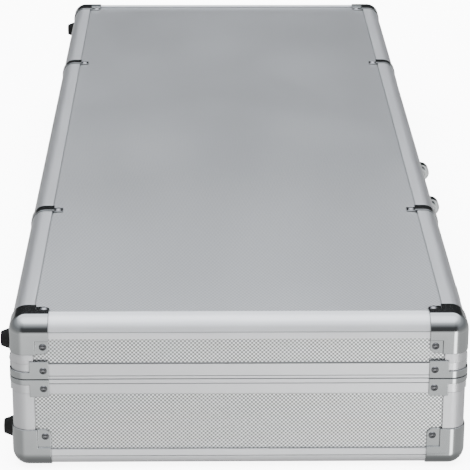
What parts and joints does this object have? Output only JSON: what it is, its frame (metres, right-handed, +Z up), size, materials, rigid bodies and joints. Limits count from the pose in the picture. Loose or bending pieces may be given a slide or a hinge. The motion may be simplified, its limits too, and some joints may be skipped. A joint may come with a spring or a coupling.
{
  "type": "poker chip case",
  "caption": "Flat aluminium-framed chip case with a hinged lid, draw latches, a folding side handle and rows for chips.",
  "frame": {"origin": "middle of the whole object's footprint, at the underside of the corner caps", "axes": "+Z up through the lid, +Y along the case's length, +X towards the latches and handle"},
  "size_m": [0.2302, 0.5682, 0.0755],
  "materials": {
    "satin_aluminium": "satin anodised extrusion",
    "dimpled_sheet": "sheet embossed with small raised dimples",
    "chrome_hardware": "polished chrome plate",
    "steel_pins": "bright steel",
    "black_rubber": "matt moulded rubber",
    "grip_plastic": "moulded grip",
    "lined_board": "fibreboard faced with black lining inside",
    "flocked_lining": "black flocked lining",
    "lid_foam": "dark foam pad"
  },
  "bodies": {
    "base": {"base_bottom_skin": "dimpled_sheet", "base_bottom_board": "lined_board", "base_near_side_skin": "dimpled_sheet", "base_near_side_board": "lined_board", "base_near_edge": "satin_aluminium", "base_far_side_skin": "dimpled_sheet", "base_far_side_board": "lined_board", "base_far_edge": "satin_aluminium", "base_hinge_side_skin": "dimpled_sheet", "base_hinge_side_board": "lined_board", "base_hinge_edge": "satin_aluminium", "base_latch_side_skin": "dimpled_sheet", "base_latch_side_board": "lined_board", "base_latch_edge": "satin_aluminium", "base_corner_posts": "satin_aluminium", "base_rim": "satin_aluminium", "base_corner_caps": "chrome_hardware", "base_rim_brackets": "chrome_hardware", "base_edge_clips": "chrome_hardware", "base_rivets": "chrome_hardware", "base_feet": "black_rubber", "hinge_base_leaves": "chrome_hardware", "hinge_pins": "steel_pins", "latch_plates": "chrome_hardware", "latch_pins": "steel_pins", "handle_brackets": "chrome_hardware", "handle_pins": "steel_pins", "tray_floor": "flocked_lining", "row_dividers": "flocked_lining", "bay_dividers": "flocked_lining"},
    "lid": {"lid_top_skin": "dimpled_sheet", "lid_top_board": "lined_board", "lid_near_side_skin": "dimpled_sheet", "lid_near_side_board": "lined_board", "lid_near_edge": "satin_aluminium", "lid_far_side_skin": "dimpled_sheet", "lid_far_side_board": "lined_board", "lid_far_edge": "satin_aluminium", "lid_hinge_side_skin": "dimpled_sheet", "lid_hinge_side_board": "lined_board", "lid_hinge_edge": "satin_aluminium", "lid_latch_side_skin": "dimpled_sheet", "lid_latch_side_board": "lined_board", "lid_latch_edge": "satin_aluminium", "lid_corner_posts": "satin_aluminium", "lid_rim": "satin_aluminium", "lid_corner_caps": "chrome_hardware", "lid_rim_brackets": "chrome_hardware", "lid_edge_clips": "chrome_hardware", "lid_rivets": "chrome_hardware", "lid_feet": "black_rubber", "hinge_lid_leaves": "chrome_hardware", "latch_strikes": "chrome_hardware", "lid_foam_pad": "lid_foam"},
    "near_lever": {"near_latch_lever": "chrome_hardware"},
    "near_bail": {"near_latch_bail": "chrome_hardware"},
    "far_lever": {"far_latch_lever": "chrome_hardware"},
    "far_bail": {"far_latch_bail": "chrome_hardware"},
    "handle": {"handle_bail": "chrome_hardware", "handle_grip": "grip_plastic"}
  },
  "joints": [
    {"name": "lid_hinge", "type": "hinge", "parent": "base", "child": "lid", "pos_m": [-0.1125, 0, 0.0458], "axis": [0, -1, 0], "range_deg": [0, 100]},
    {"name": "handle_swing", "type": "hinge", "parent": "base", "child": "handle", "pos_m": [0.10805, 0, 0.0376], "axis": [0, -1, 0], "range_deg": [0, 180]},
    {"name": "near_latch_lift", "type": "hinge", "parent": "base", "child": "near_lever", "pos_m": [0.10455, -0.186, 0.0373], "axis": [0, -1, 0], "range_deg": [0, 150]},
    {"name": "near_bail_turn", "type": "hinge", "parent": "near_lever", "child": "near_bail", "pos_m": [0.10455, -0.186, 0.0293], "axis": [0, -1, 0], "range_deg": [-150, 0]},
    {"name": "far_latch_lift", "type": "hinge", "parent": "base", "child": "far_lever", "pos_m": [0.10455, 0.186, 0.0373], "axis": [0, -1, 0], "range_deg": [0, 150]},
    {"name": "far_bail_turn", "type": "hinge", "parent": "far_lever", "child": "far_bail", "pos_m": [0.10455, 0.186, 0.0293], "axis": [0, -1, 0], "range_deg": [-150, 0]}
  ],
  "couplings": [
    {"joint": "near_bail_turn", "follows": "near_latch_lift", "ratio": -1},
    {"joint": "far_bail_turn", "follows": "far_latch_lift", "ratio": -1}
  ]
}
